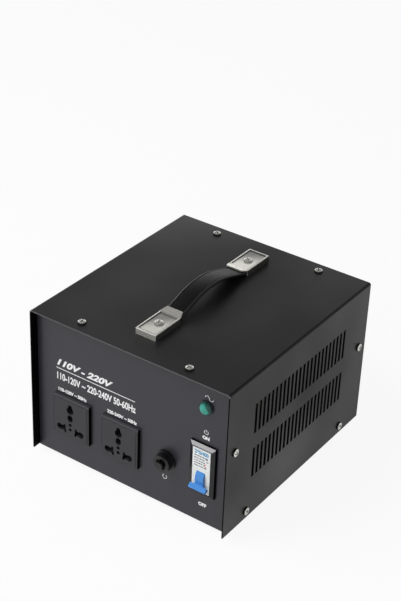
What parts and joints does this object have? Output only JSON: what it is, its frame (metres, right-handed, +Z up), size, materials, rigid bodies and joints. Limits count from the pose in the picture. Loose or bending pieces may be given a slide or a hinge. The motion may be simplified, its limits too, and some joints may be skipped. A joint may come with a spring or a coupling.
{
  "type": "travel voltage converter",
  "caption": "Portable step-up and step-down transformer in a vented black sheet-steel case with a strap handle, universal sockets, reset button, lamp and breaker switch.",
  "frame": {"origin": "on the surface that the feet stand on, below the middle of the case", "axes": "+X to the right along the front, -Y out of the front panel, +Z up"},
  "size_m": [0.2168, 0.2388, 0.1708],
  "materials": {
    "bobbin_plastic": "natural moulded nylon",
    "zinc_steel": "zinc plate",
    "black_plastic": "satin moulded plastic",
    "cream_plastic": "smooth moulded plastic",
    "brass": "plain pressed brass",
    "blue_plastic": "smooth moulded plastic",
    "black_sheet": "fine satin powder coat",
    "core_steel": "varnished silicon steel edges",
    "nickelled_steel": "bright nickel plate",
    "earth_cover": "smooth yellow and green PVC wire cover",
    "soft_strap": "soft satin PVC with a fine grain",
    "bulb_glass": "clear glass",
    "green_lens": "clear green lens",
    "wire_cover": "smooth PVC wire cover",
    "dark_plastic": "plain moulded plastic",
    "painted_steel": "thin black paint",
    "rubber": "matte moulded rubber",
    "red_plastic": "smooth moulded plastic",
    "copper": "enamelled copper wire",
    "yellow_tape": "polyester tape"
  },
  "bodies": {
    "transformer": {"bobbin": "bobbin_plastic", "bracket_screws": "zinc_steel", "breaker_bezel": "black_plastic", "breaker_bracket": "zinc_steel", "breaker_case": "cream_plastic", "breaker_clamp_screws": "zinc_steel", "breaker_clamps": "brass", "breaker_pin": "zinc_steel", "breaker_rail": "zinc_steel", "chassis": "black_sheet", "clamp_nuts": "zinc_steel", "core": "core_steel", "core_bolts": "zinc_steel", "cover": "black_sheet", "cover_screws": "nickelled_steel", "earth_leads": "earth_cover", "foot_screws": "zinc_steel", "front_handle_cap": "nickelled_steel", "front_panel": "black_sheet", "gland_body": "black_plastic", "gland_cap": "black_plastic", "gland_locknut": "black_plastic", "handle_core": "zinc_steel", "handle_nuts": "zinc_steel", "handle_screws": "nickelled_steel", "handle_strap": "soft_strap", "lamp_body": "black_plastic", "lamp_bulb": "bulb_glass", "lamp_lens": "green_lens", "lamp_nut": "nickelled_steel", "leads": "wire_cover", "left_earth_contact": "brass", "left_pin_contacts": "brass", "left_socket_base": "dark_plastic", "left_socket_face": "black_plastic", "lower_clamps": "painted_steel", "mounting_bolts": "zinc_steel", "rear_handle_cap": "nickelled_steel", "rear_panel": "black_sheet", "reset_body": "black_plastic", "reset_collar": "black_plastic", "reset_spring": "zinc_steel", "reset_tabs": "brass", "right_earth_contact": "brass", "right_pin_contacts": "brass", "right_socket_base": "dark_plastic", "right_socket_face": "black_plastic", "rubber_feet": "rubber", "selector_body": "black_plastic", "selector_screws": "nickelled_steel", "selector_tabs": "brass", "socket_screws": "zinc_steel", "terminal_block": "dark_plastic", "terminal_screws": "zinc_steel", "upper_clamps": "painted_steel", "winding": "copper", "winding_tape": "yellow_tape"},
    "toggle": {"breaker_toggle": "blue_plastic"},
    "reset": {"reset_button": "black_plastic"},
    "slider": {"selector_slider": "red_plastic"}
  },
  "joints": [
    {"name": "power_toggle", "type": "hinge", "parent": "transformer", "child": "toggle", "pos_m": [0.0785, -0.10375, 0.0555], "axis": [-1, 0, 0], "range_deg": [0, 72]},
    {"name": "reset_press", "type": "slide", "parent": "transformer", "child": "reset", "axis": [0, 1, 0], "range_m": [0, 0.003], "stiffness_N_per_m": 300, "deforming": ["reset_spring"]},
    {"name": "voltage_select", "type": "slide", "parent": "transformer", "child": "slider", "axis": [-1, 0, 0], "range_m": [0, 0.006]}
  ]
}
